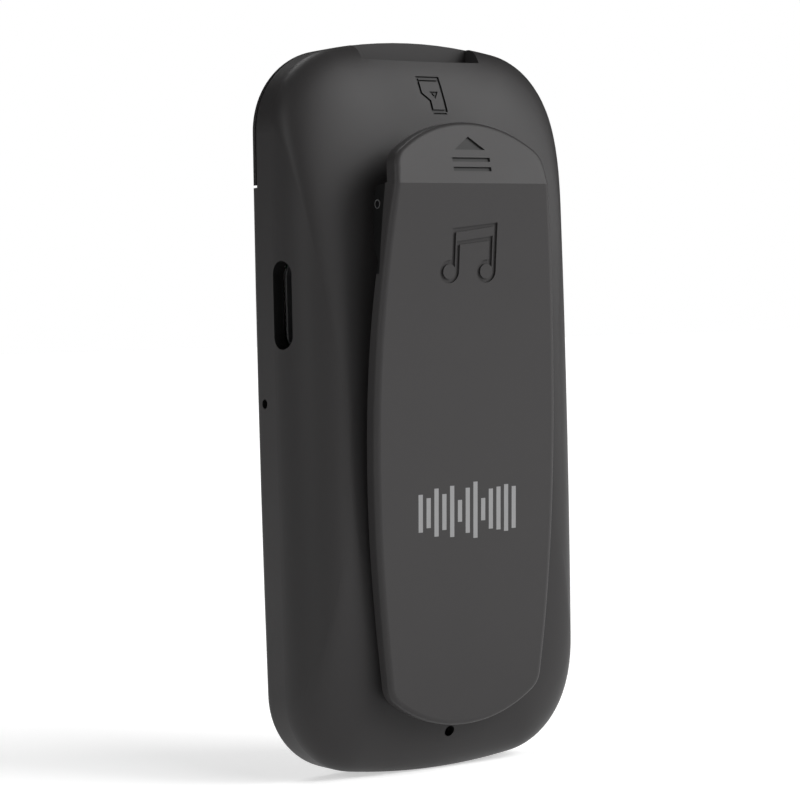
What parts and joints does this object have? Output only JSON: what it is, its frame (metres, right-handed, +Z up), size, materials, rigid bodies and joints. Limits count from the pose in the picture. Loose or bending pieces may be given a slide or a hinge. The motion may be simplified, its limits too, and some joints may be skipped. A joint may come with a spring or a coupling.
{
  "type": "digital audio player",
  "caption": "Pocket digital audio player with a pillow-shaped back, a sprung belt clip, a display window, a round key pad and side sockets.",
  "frame": {"origin": "centre of the bounding box in X and Y, at the bottom edge in Z", "axes": "+Z up towards the card slot, -Y out of the display and keys, +Y out of the clip, +X towards the charging port side"},
  "size_m": [0.036, 0.0164, 0.0789],
  "materials": {
    "case_black": "fine matte, soft touch",
    "clip_black": "fine matte, soft touch",
    "front_black": "satin",
    "window": "glossy, tinted",
    "foam": "foam",
    "display_glass": "dark glass",
    "white_plastic": "moulded",
    "flex": "amber film",
    "board_green": "solder mask",
    "chip": "moulded package",
    "ceramic": "ceramic body",
    "steel": "stamped",
    "pin_steel": "ground",
    "battery_foil": "foil pouch",
    "wire": "insulated wire",
    "key_black": "satin gloss",
    "key_rubber": "silicone",
    "brass_pad": "tinned",
    "port_black": "moulded",
    "spring_steel": "drawn wire"
  },
  "bodies": {
    "case": {"battery": "battery_foil", "battery_connector": "white_plastic", "battery_leads": "wire", "battery_pad": "foam", "board_parts": "ceramic", "card_socket": "steel", "case_screws": "steel", "charge_shell": "steel", "charge_tongue": "port_black", "clip_spring": "spring_steel", "crystal": "steel", "display_flex": "flex", "display_holder": "white_plastic", "display_panel": "display_glass", "display_window": "window", "dome_sheet": "steel", "flash_chip": "chip", "front_panel": "front_black", "jack_collar": "pin_steel", "jack_contacts": "brass_pad", "jack_housing": "port_black", "key_membrane": "key_rubber", "main_board": "board_green", "main_chip": "chip", "microphone": "steel", "microphone_boot": "foam", "radio_chip": "chip", "rear_cover": "case_black", "reset_switch": "port_black", "switch_base": "steel", "window_gasket": "foam"},
    "clip": {"clip": "clip_black", "hinge_pin": "pin_steel"},
    "switch_knob": {"switch_knob": "key_black"},
    "reset_plunger": {"reset_plunger": "white_plastic"},
    "next_key": {"next_key": "key_black"},
    "volume_up_key": {"volume_up_key": "key_black"},
    "previous_key": {"previous_key": "key_black"},
    "volume_down_key": {"volume_down_key": "key_black"},
    "centre_key": {"centre_key": "key_black"},
    "menu_key": {"menu_key": "key_black"},
    "back_key": {"back_key": "key_black"}
  },
  "joints": [
    {"name": "clip_hinge", "type": "hinge", "parent": "case", "child": "clip", "pos_m": [0, 0.0049, 0.061], "axis": [1, 0, 0], "range_deg": [0, 12], "stiffness_Nm_per_rad": 0.1, "springref_deg": -17.19, "deforming": ["clip_spring"]},
    {"name": "next_press", "type": "slide", "parent": "case", "child": "next_key", "axis": [0, 1, 0], "range_m": [0, 0.0003], "stiffness_N_per_m": 600},
    {"name": "volume_up_press", "type": "slide", "parent": "case", "child": "volume_up_key", "axis": [0, 1, 0], "range_m": [0, 0.0003], "stiffness_N_per_m": 600},
    {"name": "previous_press", "type": "slide", "parent": "case", "child": "previous_key", "axis": [0, 1, 0], "range_m": [0, 0.0003], "stiffness_N_per_m": 600},
    {"name": "volume_down_press", "type": "slide", "parent": "case", "child": "volume_down_key", "axis": [0, 1, 0], "range_m": [0, 0.0003], "stiffness_N_per_m": 600},
    {"name": "centre_press", "type": "slide", "parent": "case", "child": "centre_key", "axis": [0, 1, 0], "range_m": [0, 0.0003], "stiffness_N_per_m": 600},
    {"name": "menu_press", "type": "slide", "parent": "case", "child": "menu_key", "axis": [0, 1, 0], "range_m": [0, 0.0003], "stiffness_N_per_m": 600},
    {"name": "back_press", "type": "slide", "parent": "case", "child": "back_key", "axis": [0, 1, 0], "range_m": [0, 0.0003], "stiffness_N_per_m": 600},
    {"name": "power_slide", "type": "slide", "parent": "case", "child": "switch_knob", "axis": [0, 0, 1], "range_m": [0, 0.002]},
    {"name": "reset_press", "type": "slide", "parent": "case", "child": "reset_plunger", "axis": [-1, 0, 0], "range_m": [0, 0.00025], "stiffness_N_per_m": 400}
  ]
}
